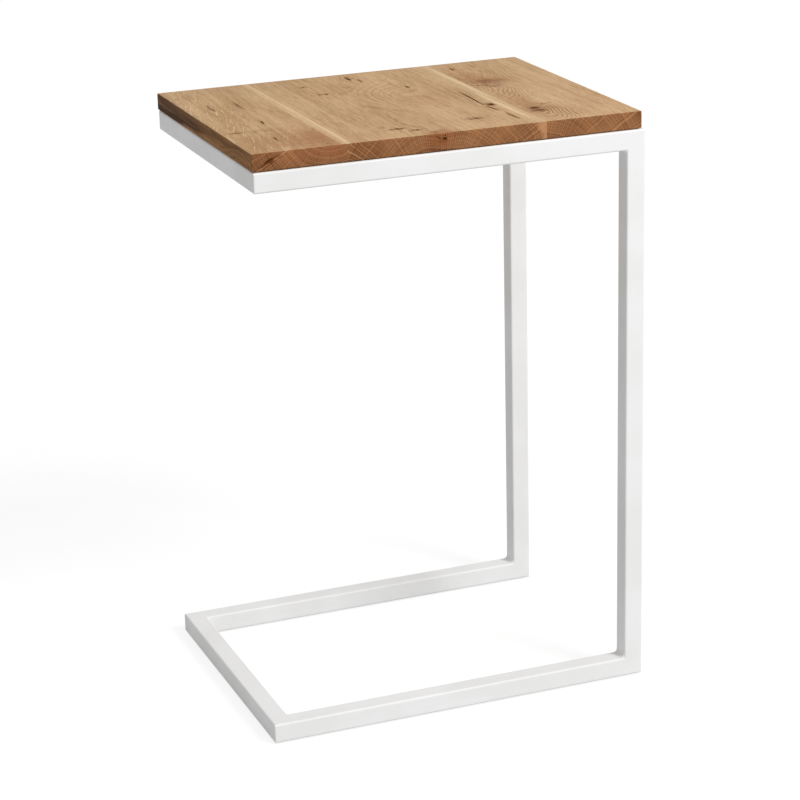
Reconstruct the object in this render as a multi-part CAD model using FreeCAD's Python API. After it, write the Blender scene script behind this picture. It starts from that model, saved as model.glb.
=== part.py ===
import FreeCAD, Part
import os

from FreeCAD import Placement, Rotation, Vector

# A C shaped side table: an oak top of three staves on a welded frame of square steel tube.
# Millimetres. +X points to the uprights, +Y to the back, +Z up.
# The origin is on the floor, under the middle of the table.

# Overall size: at the open end the top rails stop short of the base by the setback
frame_width = 405.0
frame_depth = 304.0
table_height = 600.0
open_end_setback = 2.0

# Square tube of the frame
tube_size = 20.0
tube_wall = 1.5
tube_corner_radius = 2.0
least_inner_radius = 0.3
ground_corner_radius = 1.5

# Oak top: it stands clear of the frame by the shadow gap, on the corner plates
# It overhangs the frame at the open end, and shows a narrow reveal of tube at the sides and over the uprights
top_thickness = 17.0
top_overhang = 1.0
side_reveal = 0.5
upright_reveal = 4.0
shadow_gap = 1.0
top_edge_ease = 1.2
left_stave_width = 94.5
right_stave_width = 101.5

# Weld beads: the leg is how far a bead reaches along each of the two faces that it joins
foot_weld_leg = 4.0
head_weld_leg = 3.0
corner_weld_leg = 4.0
plate_weld_leg = 2.0
plate_weld_length = 12.0
weld_hollow_share = 0.36

# Corner plates that hold the top
plate_thickness = 4.0
plate_leg = 44.0
plate_tip = 10.0
plate_corner_cut = 6.0
plate_hole_inset = 15.0
plate_slot_width = 5.0
plate_slot_length = 10.0

# Wood screws and washers: the cover is the wood left over a screw's point
screw_diameter = 4.5
screw_cover = 6.0
screw_point_length = 4.0
screw_point_diameter = 0.8
screw_head_diameter = 9.0
screw_head_height = 3.0
screw_head_edge = 1.0
pilot_clearance = 0.1
pilot_spare_depth = 0.5
washer_diameter = 12.0
washer_thickness = 1.0
washer_clearance = 0.25

# Felt pads under the base
pad_thickness = 2.0
pad_diameter = 10.0
pad_edge_ease = 0.4

# How far a cutting shape runs past what it cuts
overrun = 5.0

# Directions
along_x = Vector(1, 0, 0)
along_y = Vector(0, 1, 0)
along_z = Vector(0, 0, 1)
sides = {"front": -1, "back": 1}
ends = {"left": -1, "right": 1}

# Places that follow from the sizes above
half_width = frame_width / 2
half_depth = frame_depth / 2
half_tube = tube_size / 2
top_bottom_z = table_height - top_thickness
frame_top = top_bottom_z - shadow_gap
frame_height = frame_top - pad_thickness
centre_x = half_width - half_tube
centre_y = half_depth - half_tube
inner_x = half_width - tube_size
inner_y = half_depth - tube_size
base_left_x = -half_width
head_left_x = base_left_x + open_end_setback
top_left_x = head_left_x - top_overhang
top_width = half_width - upright_reveal - top_left_x
top_depth = frame_depth - side_reveal * 2
base_centre_z = pad_thickness + half_tube
base_top_z = pad_thickness + tube_size
rail_centre_z = frame_top - half_tube
rail_bottom_z = frame_top - tube_size
tube_flat = tube_size - tube_corner_radius * 2
plate_bottom_z = top_bottom_z - plate_thickness
washer_bottom_z = plate_bottom_z - washer_thickness
screw_point_z = table_height - screw_cover
head_inner_x = {"left": head_left_x + tube_size, "right": inner_x}
screw_y = inner_y - plate_hole_inset


def square_bar(size, radius, length):
    """A square bar that stands on the origin, with its long edges rounded."""
    bar = Part.makeBox(size, size, length, Vector(-size / 2, -size / 2, 0))
    long_edges = [edge for edge in bar.Edges if edge.BoundBox.ZLength > length / 2]
    return bar.makeFillet(radius, long_edges)


def beyond_mitre(corner, outward, turn):
    """The space past a mitre, where a tube running outward meets one that leaves by turn."""
    reach = tube_size + overrun
    block = Part.makeBox(reach * 2, reach * 2, reach * 2, Vector(-reach, -reach, 0))
    block.Placement = Placement(corner, Rotation(along_z, outward + turn))
    return block


def ground_outline(left_x):
    """The frame's outer box from left_x on, eased where the mitred corners are ground smooth."""
    corner = Vector(left_x, -half_depth, pad_thickness)
    box = Part.makeBox(half_width - left_x, frame_depth, frame_height, corner)
    upright_edges = [edge for edge in box.Edges if edge.BoundBox.ZLength > tube_size]
    cross_edges = [edge for edge in box.Edges if edge.BoundBox.YLength > tube_size]
    left_corners = [edge for edge in upright_edges if edge.BoundBox.XMax < 0]
    right_corners = [edge for edge in cross_edges if edge.BoundBox.XMin > 0]
    return box.makeFillet(ground_corner_radius, left_corners + right_corners)


def tube(left_x, start, end, start_turn=None, end_turn=None):
    """Hollow square tube from start to end; an end with a turn is mitred to the tube that leaves there."""
    direction = (end - start).normalize()
    start_spare = tube_size if start_turn else 0
    end_spare = tube_size if end_turn else 0
    length = (end - start).Length + start_spare + end_spare
    bore_size = tube_size - tube_wall * 2
    bore_radius = max(tube_corner_radius - tube_wall, least_inner_radius)
    bore = square_bar(bore_size, bore_radius, length + overrun * 2)
    bore.translate(along_z * -overrun)
    piece = square_bar(tube_size, tube_corner_radius, length).cut(bore)
    piece.Placement = Placement(start - direction * start_spare, Rotation(along_z, direction))
    if start_turn:
        piece = piece.cut(beyond_mitre(start, direction * -1, start_turn))
    if end_turn:
        piece = piece.cut(beyond_mitre(end, direction, end_turn))
    return piece.common(ground_outline(left_x))


def side_tubes(side):
    """The three tubes of one C: floor rail, upright and the rail under the top."""
    y = centre_y * sides[side]
    inward = along_y * -sides[side]
    base_left = Vector(base_left_x + half_tube, y, base_centre_z)
    base_right = Vector(centre_x, y, base_centre_z)
    head_left = Vector(head_left_x + half_tube, y, rail_centre_z)
    head_right = Vector(centre_x, y, rail_centre_z)
    return {
        f"base_{side}_rail": tube(base_left_x, base_left, base_right, inward, along_z),
        f"{side}_upright": tube(base_left_x, base_right, head_right, along_x * -1, along_x * -1),
        f"top_{side}_rail": tube(head_left_x, head_left, head_right, inward, along_z * -1),
    }


def cross_tubes():
    """The tubes from front to back: two mitred at the left end, one set square between the uprights."""
    def left_tube(left_x, z):
        front = Vector(left_x + half_tube, -centre_y, z)
        back = Vector(left_x + half_tube, centre_y, z)
        return tube(left_x, front, back, along_x, along_x)

    right_front = Vector(centre_x, -inner_y, rail_centre_z)
    right_back = Vector(centre_x, inner_y, rail_centre_z)
    return {
        "base_left_rail": left_tube(base_left_x, base_centre_z),
        "top_left_rail": left_tube(head_left_x, rail_centre_z),
        "top_right_rail": tube(head_left_x, right_front, right_back),
    }


def weld_bead(corner, first, second, leg, length):
    """A bead with a hollow face in the corner between two faces that run off along first and second."""
    hollow = corner + (first + second) * (leg * weld_hollow_share)
    toe = corner + first * leg
    other_toe = corner + second * leg
    outline = Part.Wire([
        Part.LineSegment(corner, toe).toShape(),
        Part.Arc(toe, hollow, other_toe).toShape(),
        Part.LineSegment(other_toe, corner).toShape(),
    ])
    run = first.cross(second).normalize() * length
    bead = Part.Face(outline).extrude(run)
    bead.translate(run / -2)
    return bead


def frame_welds():
    """The beads that join the tubes, one group for each kind of corner."""
    feet, heads, base_corners, top_corners, cross_ends = [], [], [], [], []
    for side in sides.values():
        inward = along_y * -side
        foot = Vector(inner_x, centre_y * side, base_top_z)
        feet.append(weld_bead(foot, along_x * -1, along_z, foot_weld_leg, tube_flat))
        head = Vector(inner_x, centre_y * side, rail_bottom_z)
        heads.append(weld_bead(head, along_x * -1, along_z * -1, head_weld_leg, tube_flat))
        base_corner = Vector(base_left_x + tube_size, inner_y * side, base_centre_z)
        base_corners.append(weld_bead(base_corner, along_x, inward, corner_weld_leg, tube_flat))
        cross_end = Vector(centre_x, inner_y * side, rail_bottom_z)
        cross_ends.append(weld_bead(cross_end, inward, along_z * -1, corner_weld_leg, tube_flat))
        for end, outward in ends.items():
            top_corner = Vector(head_inner_x[end], inner_y * side, rail_centre_z)
            top_corners.append(weld_bead(top_corner, along_x * -outward, inward, corner_weld_leg, tube_flat))
    return {
        "upright_foot_welds": Part.makeCompound(feet),
        "upright_head_welds": Part.makeCompound(heads),
        "base_corner_welds": Part.makeCompound(base_corners),
        "top_corner_welds": Part.makeCompound(top_corners),
        "cross_rail_welds": Part.makeCompound(cross_ends),
    }


def upright_cylinder(x, y, z, diameter, height):
    return Part.makeCylinder(diameter / 2, height, Vector(x, y, z))


def slot_through(x, y, z, width, length, height):
    """A round-ended slot that runs along X, across the grain, so that the top can swell and shrink."""
    straight = length - width
    middle = Part.makeBox(straight, width, height, Vector(x - straight / 2, y - width / 2, z))
    round_ends = [upright_cylinder(x + straight / 2 * end, y, z, width, height) for end in ends.values()]
    return middle.fuse(round_ends).removeSplitter()


def screw_x(end):
    return head_inner_x[end] - plate_hole_inset * ends[end]


def fixing_plate(side, end):
    """A flat plate across one corner of the top frame, with a slot for the screw."""
    shape_points = [
        (plate_corner_cut, 0),
        (plate_leg, 0),
        (plate_leg, plate_tip),
        (plate_tip, plate_leg),
        (0, plate_leg),
        (0, plate_corner_cut),
    ]
    corners = [
        Vector(head_inner_x[end] - across * ends[end], (inner_y - along) * sides[side], plate_bottom_z)
        for across, along in shape_points
    ]
    plate = Part.Face(Part.makePolygon(corners + corners[:1])).extrude(along_z * plate_thickness)
    slot = slot_through(
        screw_x(end), screw_y * sides[side], plate_bottom_z - overrun,
        plate_slot_width, plate_slot_length, plate_thickness + overrun * 2)
    return plate.cut(slot)


def fixing_plates():
    return {
        f"fixing_plate_{side}_{end}": fixing_plate(side, end)
        for side in sides
        for end in ends
    }


def plate_welds():
    """Two short beads under each plate, one along each rail that it is welded to."""
    middle = (plate_corner_cut + plate_leg) / 2
    beads = []
    for side in sides.values():
        for end, outward in ends.items():
            inward_x = along_x * -outward
            inward_y = along_y * -side
            on_side_rail = Vector(head_inner_x[end] - middle * outward, inner_y * side, plate_bottom_z)
            beads.append(weld_bead(on_side_rail, inward_y, along_z * -1, plate_weld_leg, plate_weld_length))
            on_cross_rail = Vector(head_inner_x[end], (inner_y - middle) * side, plate_bottom_z)
            beads.append(weld_bead(on_cross_rail, inward_x, along_z * -1, plate_weld_leg, plate_weld_length))
    return Part.makeCompound(beads)


def wood_screw(x, y):
    """A pan-head screw, head down, with its shank and point up in the wood."""
    head = upright_cylinder(x, y, washer_bottom_z - screw_head_height, screw_head_diameter, screw_head_height)
    rim = [edge for edge in head.Edges if edge.BoundBox.ZMax < washer_bottom_z - screw_head_height / 2]
    head = head.makeChamfer(screw_head_edge, rim)
    straight = screw_point_z - screw_point_length - washer_bottom_z
    shank = upright_cylinder(x, y, washer_bottom_z, screw_diameter, straight)
    point_base = Vector(x, y, washer_bottom_z + straight)
    point = Part.makeCone(screw_diameter / 2, screw_point_diameter / 2, screw_point_length, point_base)
    return head.fuse([shank, point]).removeSplitter()


def washer(x, y):
    disc = upright_cylinder(x, y, washer_bottom_z, washer_diameter, washer_thickness)
    hole_diameter = screw_diameter + washer_clearance * 2
    hole = upright_cylinder(x, y, washer_bottom_z - overrun, hole_diameter, washer_thickness + overrun * 2)
    return disc.cut(hole)


def pilot_hole(x, y):
    """The blind hole that a screw fills, open at the underside of the wood."""
    top = screw_point_z + pilot_spare_depth
    diameter = screw_diameter + pilot_clearance * 2
    return upright_cylinder(x, y, top_bottom_z - overrun, diameter, top - top_bottom_z + overrun)


def for_each_screw(make):
    return [make(screw_x(end), screw_y * side) for side in sides.values() for end in ends]


def oak_staves():
    """Three boards glued edge to edge, eased all round as one top, with the grain from front to back."""
    front_left = Vector(top_left_x, -top_depth / 2, top_bottom_z)
    board = Part.makeBox(top_width, top_depth, top_thickness, front_left)
    board = board.makeFillet(top_edge_ease, board.Edges).cut(for_each_screw(pilot_hole))
    widths = {
        "left": left_stave_width,
        "middle": top_width - left_stave_width - right_stave_width,
        "right": right_stave_width,
    }
    staves = {}
    stave_left = top_left_x
    for place, width in widths.items():
        corner = Vector(stave_left, -top_depth / 2, top_bottom_z)
        staves[f"top_stave_{place}"] = board.common(Part.makeBox(width, top_depth, top_thickness, corner))
        stave_left += width
    return staves


def floor_pad(x, y):
    """A thin round felt pad, bevelled round its lower edge."""
    pad = upright_cylinder(x, y, 0, pad_diameter, pad_thickness)
    lower_rim = [edge for edge in pad.Edges if edge.BoundBox.ZMax < pad_thickness / 2]
    return pad.makeChamfer(pad_edge_ease, lower_rim)


def floor_pads():
    return {
        f"floor_pad_{side}_{end}": floor_pad(centre_x * ends[end], centre_y * sides[side])
        for side in sides
        for end in ends
    }


def all_pieces():
    pieces = {}
    pieces.update(oak_staves())
    for side in sides:
        pieces.update(side_tubes(side))
    pieces.update(cross_tubes())
    pieces.update(frame_welds())
    pieces.update(fixing_plates())
    pieces["plate_welds"] = plate_welds()
    pieces["top_screws"] = Part.makeCompound(for_each_screw(wood_screw))
    pieces["screw_washers"] = Part.makeCompound(for_each_screw(washer))
    pieces.update(floor_pads())
    return pieces


def main():
    os.makedirs("parts", exist_ok=True)
    for name, shape in all_pieces().items():
        shape.exportStep(f"parts/{name}.step")
        volume = sum(solid.Volume for solid in shape.Solids)
        print(f"{name}: {len(shape.Solids)} solid(s), {volume:.1f} mm3, valid {shape.isValid()}")


main()
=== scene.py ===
# %% [markdown]
# # An oak and steel side table, dressed for a photograph
# The table is a C on its side: an oak top on a welded frame of square steel tube, open at the
# left so that the base slides under a sofa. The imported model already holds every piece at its
# real size, in metres, with the floor at zero height. This lesson gives each piece the surface
# that it has on the real table, and makes the small forms that a drawing leaves out, such as open
# knots, weld beads and screw threads.

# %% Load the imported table
import math
import random
from collections import namedtuple

import bmesh
import bpy
from mathutils import Color, Matrix, Vector


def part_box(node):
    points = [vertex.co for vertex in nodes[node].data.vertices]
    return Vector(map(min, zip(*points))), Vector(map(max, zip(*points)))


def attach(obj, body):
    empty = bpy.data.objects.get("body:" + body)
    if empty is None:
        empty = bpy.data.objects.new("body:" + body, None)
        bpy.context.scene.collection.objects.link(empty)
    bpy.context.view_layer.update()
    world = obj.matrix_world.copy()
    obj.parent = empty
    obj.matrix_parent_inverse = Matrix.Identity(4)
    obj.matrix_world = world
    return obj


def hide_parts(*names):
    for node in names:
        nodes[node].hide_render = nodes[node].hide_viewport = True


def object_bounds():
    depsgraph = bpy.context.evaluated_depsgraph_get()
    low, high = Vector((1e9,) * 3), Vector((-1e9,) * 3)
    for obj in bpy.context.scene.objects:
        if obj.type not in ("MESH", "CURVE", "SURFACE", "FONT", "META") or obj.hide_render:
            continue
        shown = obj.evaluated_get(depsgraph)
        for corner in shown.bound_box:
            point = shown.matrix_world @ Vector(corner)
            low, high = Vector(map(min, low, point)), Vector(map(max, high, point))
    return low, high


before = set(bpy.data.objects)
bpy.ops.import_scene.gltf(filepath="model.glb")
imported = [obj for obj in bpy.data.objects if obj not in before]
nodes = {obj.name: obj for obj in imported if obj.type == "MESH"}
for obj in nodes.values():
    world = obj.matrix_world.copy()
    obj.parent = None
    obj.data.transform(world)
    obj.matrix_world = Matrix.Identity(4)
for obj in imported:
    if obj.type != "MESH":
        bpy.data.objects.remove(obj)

cad_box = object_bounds()
print("pieces in the packed table:", len(nodes))
print("its box:", [tuple(corner) for corner in cad_box])

# %% [markdown]
# ## The camera
# The photograph was taken from the front and the left, a little above the top, with a long lens.
# A camera can be placed by eye, but here its place was worked out from the corners of the table
# in the picture, which fixes the distance and the lens together. It leans by about a degree, as a
# hand-held camera does.

# %% Place the camera
camera_place = Vector((-0.9126, -2.3560, 1.1460))
camera_turn = (math.radians(71.196), math.radians(1.337), math.radians(-21.583))
camera_lens_mm = 115.98
camera_sight = 100.0

camera = bpy.data.objects.new("camera", bpy.data.cameras.new("camera"))
camera.location = camera_place
camera.rotation_euler = camera_turn
camera.data.lens = camera_lens_mm
camera.data.clip_end = camera_sight
bpy.context.scene.collection.objects.link(camera)
bpy.context.scene.camera = camera
bpy.context.scene.view_settings.view_transform = "Standard"
table_middle = sum(cad_box, Vector()) / 2
print("camera to the table's middle:", round((camera_place - table_middle).length, 3), "m")

# %% [markdown]
# ## Writing a material as sums
# A material in Blender is a tree of nodes. Wiring it by hand takes many lines, so these helpers
# let us write it as sums. Each method of a recipe adds one node and gives back an amount, and
# amounts are added and multiplied like numbers, which adds the next node. Colours are written as
# they look on a screen, from 0 to 255, and turned into the linear values that light needs. Sizes
# are in millimetres, because grain and pores are that small.

# %% Amounts that vary over a surface
MM = 0.001
MM_PER_M = 1000.0
SCREEN_LEVELS = 255


def paint(*levels):
    """A colour as seen on a screen, as the linear colour that a shader takes."""
    screen = Color([level / SCREEN_LEVELS for level in levels])
    return (*screen.from_srgb_to_scene_linear(), 1.0)


class Amount:
    """A number that varies over a surface: the output of a node."""

    def __init__(self, recipe, socket):
        self.recipe, self.socket = recipe, socket

    def __add__(self, other):
        return self.recipe.math("ADD", self, other)

    def __sub__(self, other):
        return self.recipe.math("SUBTRACT", self, other)

    def __mul__(self, other):
        return self.recipe.math("MULTIPLY", self, other)

    def __truediv__(self, other):
        return self.recipe.math("DIVIDE", self, other)

    def __abs__(self):
        return self.recipe.math("ABSOLUTE", self)


half_bright = SCREEN_LEVELS / 2
light = paint(half_bright, half_bright, half_bright)[0]
print("a grey that looks half bright has", round(light, 3), "of the light of white")

# %% Nodes and the wires between them
class Wiring:
    """A material's node tree, wired up one node at a time."""

    def __init__(self, name):
        self.material = bpy.data.materials.new(name)
        self.material.use_nodes = True
        self.tree = self.material.node_tree
        self.tree.nodes.clear()

    def feed(self, socket, value):
        if isinstance(value, Amount):
            value = value.socket
        if isinstance(value, bpy.types.NodeSocket):
            self.tree.links.new(value, socket)
        else:
            socket.default_value = value

    def node(self, kind, inputs=None, **settings):
        made = self.tree.nodes.new(kind)
        for setting, value in settings.items():
            setattr(made, setting, value)
        for socket, value in (inputs or {}).items():
            self.feed(made.inputs[socket], value)
        return made

    def amount(self, output, kind, inputs, **settings):
        return Amount(self, self.node(kind, inputs, **settings).outputs[output])

    def math(self, operation, first, second=0.0):
        return self.amount(0, "ShaderNodeMath", {0: first, 1: second}, operation=operation)

    def vector(self, operation, first, second):
        made = self.node("ShaderNodeVectorMath", {0: first, 1: second}, operation=operation)
        return made.outputs["Vector"]

    def length(self, vector):
        return self.amount("Value", "ShaderNodeVectorMath", {0: vector}, operation="LENGTH")

    def parts(self, vector):
        made = self.node("ShaderNodeSeparateXYZ", {0: vector})
        return [Amount(self, part) for part in made.outputs]

    def join(self, x=0.0, y=0.0, z=0.0):
        return self.node("ShaderNodeCombineXYZ", {0: x, 1: y, 2: z}).outputs[0]


print("sums are wired up as nodes of Blender", bpy.app.version_string)

# %% Patterns, shades and a finished surface
SEED_STEPS = (1.0, 1.7, 2.3)
# The Mix node lists its sockets for numbers, vectors and colours in turn. These are for colours.
MIX_SHARE, MIX_FIRST, MIX_SECOND, MIX_RESULT = 0, 6, 7, 2


class Recipe(Wiring):
    """Wiring that also knows noise, smooth steps, blends of colour and a surface shader."""

    def place(self):
        """Where a point lies on the table, in millimetres."""
        spot = self.node("ShaderNodeTexCoord").outputs["Object"]
        return self.vector("MULTIPLY", spot, (MM_PER_M,) * 3)

    def noise(self, place, size, seed=0.0, detail=2.0, output="Fac"):
        """Soft noise whose lumps are about as large as size, in millimetres, along each axis."""
        scaled = self.vector("DIVIDE", place, size)
        moved = self.vector("ADD", scaled, [seed * step for step in SEED_STEPS])
        inputs = {"Vector": moved, "Scale": 1.0, "Detail": detail}
        return self.amount(output, "ShaderNodeTexNoise", inputs)

    def chance(self, count):
        """A share drawn by lot for each whole number of a count."""
        whole = self.math("FLOOR", count)
        return self.amount("Value", "ShaderNodeTexWhiteNoise", {"W": whole}, noise_dimensions="1D")

    def ease(self, value, low, high, at_low=0.0, at_high=1.0):
        """A smooth step: at_low below low, at_high above high."""
        inputs = {"Value": value, "From Min": low, "From Max": high,
                  "To Min": at_low, "To Max": at_high}
        return self.amount("Result", "ShaderNodeMapRange", inputs, interpolation_type="SMOOTHSTEP")

    def near(self, value, middle, reach):
        """1 where value is at the middle, falling to 0 at reach on either side."""
        return self.ease(abs(value - middle), 0.0, reach, 1.0, 0.0)

    def weigh(self, measures, weights, start):
        """The measures that have a weight, each times its weight, added to a starting level."""
        answer = start
        for name, weight in weights.items():
            answer = measures[name] * weight + answer
        return answer

    def blend(self, share, first, second):
        """The first colour where share is 0, and the second where it is 1."""
        inputs = {MIX_SHARE: share, MIX_FIRST: first, MIX_SECOND: second}
        return self.node("ShaderNodeMix", inputs, data_type="RGBA").outputs[MIX_RESULT]

    def bump(self, height, depth_mm):
        inputs = {"Strength": 1.0, "Distance": depth_mm * MM, "Height": height}
        return self.node("ShaderNodeBump", inputs).outputs["Normal"]

    def finish(self, colour, roughness, normal, **sockets):
        """Ends the recipe in one surface shader; sockets are plain numbers, the same all over."""
        inputs = {"Base Color": colour, "Roughness": roughness, "Normal": normal}
        inputs.update({name.replace("_", " "): value for name, value in sockets.items()})
        surface = self.node("ShaderNodeBsdfPrincipled", inputs)
        self.node("ShaderNodeOutputMaterial", {"Surface": surface.outputs[0]})
        print(self.material.name, "has", len(self.tree.nodes), "nodes")
        return self.material


print("patterns are told apart by a seed, which moves them by", SEED_STEPS, "along the axes")

# %% [markdown]
# ## The studio's light
# The picture is a studio shot on plain white. Much of the light comes from all round, as in a
# white room, so the edges of the tube stay soft. The key lamp stands in front at the right, about
# forty degrees up. It lights the front and the top alike and leaves the faces to the left darker,
# so the square of the tube reads at a glance, and the uprights throw a small shadow at their
# feet. A soft box, high in front at the right, adds a slow fall of light from right to left. The
# background is white to the camera alone: a white that also lit the table would bleach it.

# %% Set up the lamps
key_direction = Vector((0.36, -0.66, 0.66))
key_strength = 1.28
key_softness = math.radians(16)
box_place = Vector((0.85, -1.35, 1.6))
box_size = 0.8
box_watts = 10.5


def add_lamp(name, kind, outward):
    """A lamp whose back looks along outward, so that it shines the other way."""
    lamp = bpy.data.objects.new(name, bpy.data.lights.new(name, kind))
    lamp.rotation_euler = outward.to_track_quat("Z", "Y").to_euler()
    bpy.context.scene.collection.objects.link(lamp)
    return lamp


key = add_lamp("key_light", "SUN", key_direction)
key.data.energy = key_strength
key.data.angle = key_softness

soft_box = add_lamp("soft_box", "AREA", box_place - table_middle)
soft_box.location = box_place
soft_box.data.size = box_size
soft_box.data.energy = box_watts
print("key light from", tuple(key_direction), "and soft box at", tuple(box_place))

# %% Light the room from all round
sky_strength = 0.51
white = (1.0, 1.0, 1.0, 1.0)


def seen_directly(tree):
    """1 for what is seen outright, in a reflection or through glass; 0 for bounced light."""
    path = tree.nodes.new("ShaderNodeLightPath").outputs
    answer = path["Is Camera Ray"]
    for ray in ("Is Glossy Ray", "Is Transmission Ray"):
        either = tree.nodes.new("ShaderNodeMath")
        either.operation = "MAXIMUM"
        tree.links.new(answer, either.inputs[0])
        tree.links.new(path[ray], either.inputs[1])
        answer = either.outputs[0]
    return answer


world = bpy.data.worlds.new("studio")
bpy.context.scene.world = world
world.use_nodes = True
sky = world.node_tree.nodes["Background"]
sky.inputs["Color"].default_value = white
level = world.node_tree.nodes.new("ShaderNodeMapRange")
level.inputs["To Min"].default_value = sky_strength
level.inputs["To Max"].default_value = 1.0
world.node_tree.links.new(seen_directly(world.node_tree), level.inputs["Value"])
world.node_tree.links.new(level.outputs["Result"], sky.inputs["Strength"])
print("the room lights the table at", sky_strength, "of white")

# %% [markdown]
# ## The floor
# A sheet of white paper lies under the table and keeps its shadow. Paper bright enough to look
# white would also light the table from below, so the floor has two sides to it: a plain pale one
# for the light that bounces, and one for the eye that glows most of the way to white and leaves
# the rest to the light, so that shadows show.

# %% Lay the floor
floor_half_size = 15.0
floor_tone = 0.62
shown_tone = 0.24
shown_glow = 0.82
SQUARE = ((-1, -1), (1, -1), (1, 1), (-1, 1))

floor_mesh = bpy.data.meshes.new("floor")
corners = [(x * floor_half_size, y * floor_half_size, 0) for x, y in SQUARE]
floor_mesh.from_pydata(corners, [], [range(len(corners))])
floor = bpy.data.objects.new("floor", floor_mesh)
bpy.context.scene.collection.objects.link(floor)

floor_recipe = Recipe("pale_floor")
seen = seen_directly(floor_recipe.tree)
bounce, shown = [
    floor_recipe.node("ShaderNodeBsdfDiffuse", {"Color": (tone, tone, tone, 1)}).outputs[0]
    for tone in (floor_tone, shown_tone)]
glow = floor_recipe.node("ShaderNodeEmission", {"Color": white, "Strength": shown_glow}).outputs[0]
paper = floor_recipe.node("ShaderNodeAddShader", {0: shown, 1: glow}).outputs[0]
either = floor_recipe.node("ShaderNodeMixShader", {0: seen, 1: bounce, 2: paper}).outputs[0]
floor_recipe.node("ShaderNodeOutputMaterial", {"Surface": either})
floor_mesh.materials.append(floor_recipe.material)
print("floor laid: to the eye it glows at", shown_glow, "of white")

# %% [markdown]
# ## The frame's coat
# The tubes are powder coated in satin white after welding. Powder melts into a skin with a faint
# orange peel, a little uneven where it pools, and it is never quite one white. One flat white
# would look like plastic, so soft noise makes the pools and the peel. The tubes themselves are
# right as packed, down to their rounded edges, so they stay and only take this finish.

# %% Mix the white powder coat
coat_white = paint(240, 240, 240)
coat_warm = paint(236, 236, 235)
coat_roughness = (0.46, 0.58)
coat_gloss = 0.2
pool_size_mm = (60.0, 60.0, 60.0)
pool_range = (0.35, 0.65)
peel_size_mm = (1.6, 1.6, 1.6)
peel_depth_mm = 0.02
peel_dulls = 0.3
dull_range = (0.4, 0.9)
powder_size_mm = (0.35, 0.35, 0.35)
powder_height = 0.25


def powder_coat():
    recipe = Recipe("white_powder_coat")
    place = recipe.place()
    pools = recipe.noise(place, pool_size_mm, detail=3.0)
    peel = recipe.noise(place, peel_size_mm, seed=3.0, detail=1.0)
    powder = recipe.noise(place, powder_size_mm, seed=5.0, detail=0.0)
    colour = recipe.blend(recipe.ease(pools, *pool_range), coat_white, coat_warm)
    roughness = recipe.ease(pools + peel * peel_dulls, *dull_range, *coat_roughness)
    normal = recipe.bump(peel + powder * powder_height, peel_depth_mm)
    return recipe.finish(colour, roughness, normal, Specular_IOR_Level=coat_gloss)


white_coat = powder_coat()
coated = [name for name in nodes
          if name.endswith(("_rail", "_upright")) or name.startswith("fixing_plate")]
for name in coated:
    nodes[name].data.materials.clear()
    nodes[name].data.materials.append(white_coat)
print("coated white:", len(coated), "pieces")

# %% [markdown]
# ## Helpers for new pieces
# A new piece starts as a bmesh, which is Blender's workbench for building faces in code. Most
# forms here are rings of points with a skin of faces between them. The bmesh becomes a mesh with
# its faces turned outward, and then a piece that rides on the table's one body and stands for the
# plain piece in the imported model. A mesh is smoothed by angle, so rounded forms look round and
# edges stay crisp.

# %% Turn rings of points into a piece
smooth_below = math.radians(35)


def skin(shape, rings, closed=False, capped=False):
    """Faces from each ring of points to the next; a ring of one point makes a tip."""
    for first, second in zip(rings, rings[1:] + (rings[:1] if closed else [])):
        corners = max(len(first), len(second))
        for corner in range(corners):
            other = (corner + 1) % corners
            face = [first[corner % len(first)], first[other % len(first)],
                    second[other % len(second)], second[corner % len(second)]]
            shape.faces.new(list(dict.fromkeys(face)))
    if capped:
        shape.faces.new(rings[0])
        shape.faces.new(reversed(rings[-1]))


def to_mesh(name, shape, *materials):
    bmesh.ops.recalc_face_normals(shape, faces=shape.faces)
    mesh = bpy.data.meshes.new(name)
    shape.to_mesh(mesh)
    shape.free()
    for material in materials:
        mesh.materials.append(material)
    return mesh


def add_piece(name, mesh, slot, *stands_for):
    """Puts a finished mesh on the table, in place of the plain pieces that it stands for."""
    mesh.shade_smooth()
    mesh.set_sharp_from_angle(angle=smooth_below)
    piece = bpy.data.objects.new(name, mesh)
    bpy.context.scene.collection.objects.link(piece)
    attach(piece, "root")
    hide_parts(*stands_for)
    print(name, "has", len(mesh.polygons), "faces")


print("edges that turn by more than", round(math.degrees(smooth_below)), "degrees stay crisp")

# %% [markdown]
# ## Weld beads
# Where two tubes meet at a right angle, the welder lays a bead in the corner. At the feet of the
# uprights it was dressed to a smooth hollow fillet under the coat, and at the hidden plates it
# keeps its ripples. A curve with a round bevel would be quicker, but it can't ripple or run out.
# So a bead is swept along the corner: one section after another, each a little larger or smaller,
# shrinking at the ends where the bead runs out over the rounded edge of the tube.

# %% A bead along a corner
bead_step = 0.4 * MM
bead_curve_share = 0.22
bead_arc_steps = 7
bead_tip_share = 0.3
ripple_pitch = 1.7 * MM
tube_edge = 2.0 * MM
tube_flat = 16.0 * MM

Bead = namedtuple("Bead", "corner first second leg length taper ripple")


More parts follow.
